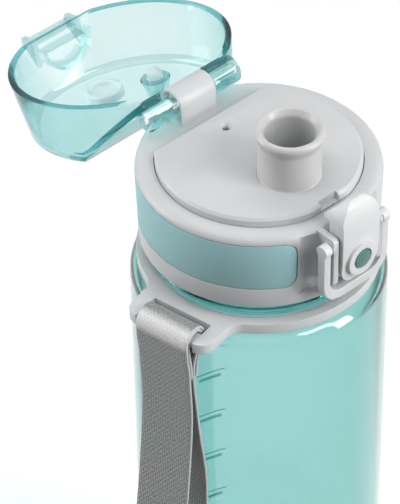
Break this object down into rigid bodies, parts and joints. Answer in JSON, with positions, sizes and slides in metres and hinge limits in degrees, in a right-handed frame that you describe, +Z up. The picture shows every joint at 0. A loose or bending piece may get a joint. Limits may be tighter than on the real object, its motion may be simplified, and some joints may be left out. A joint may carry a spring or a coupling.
{
  "type": "water bottle",
  "caption": "Clear drinking bottle with threaded cap, flip-up dome lid, push latch, swing-over lock bail, round mouthpiece and a webbing wrist strap.",
  "frame": {"origin": "middle of the base, on the plane the bottle stands on", "axes": "+Z up along the bottle, +Y towards the lid's hinge, -Y towards the latch"},
  "size_m": [0.0888, 0.1319, 0.2356],
  "materials": {
    "clear_teal": "clear tinted copolyester, polished",
    "grey_plastic": "light grey moulded plastic, fine satin",
    "white_plastic": "white moulded plastic, smooth",
    "soft_teal": "soft moulded grip, matte",
    "grey_webbing": "woven polyester webbing",
    "milky_silicone": "milky silicone",
    "green_inlay": "dark green, smooth, bare",
    "steel": "stainless wire and pins"
  },
  "bodies": {
    "bottle": {"bottle_body": "clear_teal"},
    "seal": {"cap_gasket": "milky_silicone"},
    "cap": {"cap_collar": "grey_plastic", "inner_cap": "grey_plastic", "grip_band": "soft_teal", "spout": "white_plastic", "vent_valve": "milky_silicone", "hinge_pin": "steel", "hinge_spring": "steel", "latch_pin": "steel", "latch_spring": "steel"},
    "lid": {"lid_shell": "clear_teal", "spout_seal": "milky_silicone", "vent_plug": "milky_silicone"},
    "lever": {"latch_lever": "grey_plastic", "latch_inlay": "green_inlay"},
    "bail": {"lock_bail": "grey_plastic"},
    "ring": {"strap_ring": "grey_plastic"},
    "strap": {"wrist_strap": "grey_webbing"}
  },
  "joints": [
    {"name": "cap_lift", "type": "slide", "parent": "bottle", "child": "seal", "axis": [0, 0, 1], "range_m": [0, 0.00563]},
    {"name": "cap_turn", "type": "hinge", "parent": "seal", "child": "cap", "pos_m": [0, 0, 0.21], "axis": [0, 0, 1], "range_deg": [0, 450]},
    {"name": "lid_hinge", "type": "hinge", "parent": "cap", "child": "lid", "pos_m": [0, 0.0286, 0.2234], "axis": [1, 0, 0], "range_deg": [0, 195], "stiffness_Nm_per_rad": 0.003},
    {"name": "latch_rock", "type": "hinge", "parent": "cap", "child": "lever", "pos_m": [0, -0.037, 0.2138], "axis": [1, 0, 0], "range_deg": [0, 10], "stiffness_Nm_per_rad": 0.4, "deforming": ["latch_spring"]},
    {"name": "bail_swing", "type": "hinge", "parent": "cap", "child": "bail", "pos_m": [0, -0.037, 0.2138], "axis": [-1, 0, 0], "range_deg": [0, 198]},
    {"name": "ring_turn", "type": "hinge", "parent": "bottle", "child": "ring", "pos_m": [0, 0, 0.18525], "axis": [0, 0, 1], "continuous": true},
    {"name": "strap_swing", "type": "hinge", "parent": "ring", "child": "strap", "pos_m": [-0.04093, -0.00796, 0.18525], "axis": [-0.1908, 0.9816, 0], "range_deg": [0, 90]}
  ],
  "couplings": [
    {"joint": "cap_lift", "follows": "cap_turn", "m_per_rad": 0.0007162}
  ]
}
